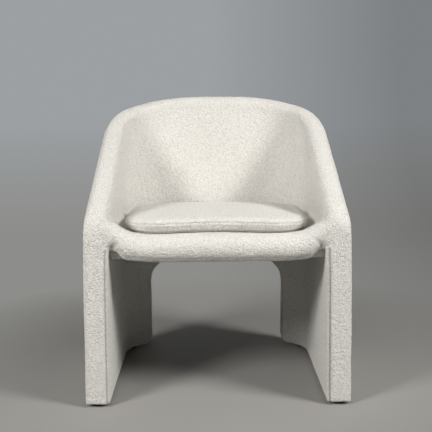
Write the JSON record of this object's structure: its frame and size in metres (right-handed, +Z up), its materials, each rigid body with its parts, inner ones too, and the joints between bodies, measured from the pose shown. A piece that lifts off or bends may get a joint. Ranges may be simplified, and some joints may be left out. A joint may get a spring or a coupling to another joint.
{
  "type": "tub chair",
  "caption": "Upholstered tub chair whose wraparound arms run down to the floor as legs, with a reclining back, a webbed seat with a rolled front edge and a loose zipped cushion.",
  "frame": {"origin": "middle of the chair's footprint on the floor", "axes": "+Z up from the floor, the front of the chair towards -Y, +X to the right of a person who looks at its front"},
  "size_m": [0.6858, 0.6436, 0.79],
  "materials": {
    "boucle": "off-white looped boucle wool blend, matt and nubby",
    "foam": "open-cell polyurethane foam, pale yellow",
    "plywood": "moulded birch plywood, sanded and unlacquered",
    "timber": "planed beech, unlacquered",
    "webbing": "woven elastic seat webbing",
    "cambric": "thin black non-woven dust cover",
    "steel": "zinc-plated steel",
    "glide_plastic": "black moulded plastic",
    "zip_tape": "cream woven zip tape with a nylon coil"
  },
  "bodies": {
    "chair": {"side_shell_left": "plywood", "side_shell_right": "plywood", "back_shell": "plywood", "splice_plate_left": "plywood", "splice_plate_right": "plywood", "ledger_left": "plywood", "ledger_right": "plywood", "ledger_rear": "plywood", "arm_foam_left": "foam", "arm_foam_right": "foam", "leg_foam_left": "foam", "leg_foam_right": "foam", "back_foam": "foam", "outside_back_foam": "foam", "arm_cover_left": "boucle", "arm_cover_right": "boucle", "leg_cover_left": "boucle", "leg_cover_right": "boucle", "inside_back_cover": "boucle", "outside_back_cover": "boucle", "glide_front_left": "glide_plastic", "glide_front_right": "glide_plastic", "glide_rear_left": "glide_plastic", "glide_rear_right": "glide_plastic", "glide_screw_front_left": "steel", "glide_screw_front_right": "steel", "glide_screw_rear_left": "steel", "glide_screw_rear_right": "steel", "sole_left": "timber", "sole_right": "timber", "seat_rail_front": "timber", "seat_rail_rear": "timber", "seat_rail_left": "timber", "seat_rail_right": "timber", "seat_corner_rear_left": "plywood", "seat_corner_rear_right": "plywood", "corner_block_front_left": "timber", "corner_block_front_right": "timber", "seat_bolt_left_1": "steel", "seat_bolt_left_2": "steel", "seat_bolt_right_1": "steel", "seat_bolt_right_2": "steel", "seat_bolt_rear_left": "steel", "seat_bolt_rear_right": "steel", "webbing_length_1": "webbing", "webbing_length_2": "webbing", "webbing_length_3": "webbing", "webbing_length_4": "webbing", "webbing_cross_1": "webbing", "webbing_cross_2": "webbing", "webbing_cross_3": "webbing", "seat_cover": "boucle", "seat_foam": "foam", "dust_cover": "cambric"},
    "cushion": {"cushion_cover": "boucle", "cushion_foam": "foam", "zip_tape": "zip_tape"},
    "zip_slider": {"zip_slider": "steel"}
  },
  "joints": [
    {"name": "cushion_lift", "type": "slide", "parent": "chair", "child": "cushion", "axis": [0, 0, 1], "range_m": [0, 0.4]},
    {"name": "zip_slide", "type": "slide", "parent": "cushion", "child": "zip_slider", "axis": [1, 0, 0], "range_m": [0, 0.36]}
  ]
}
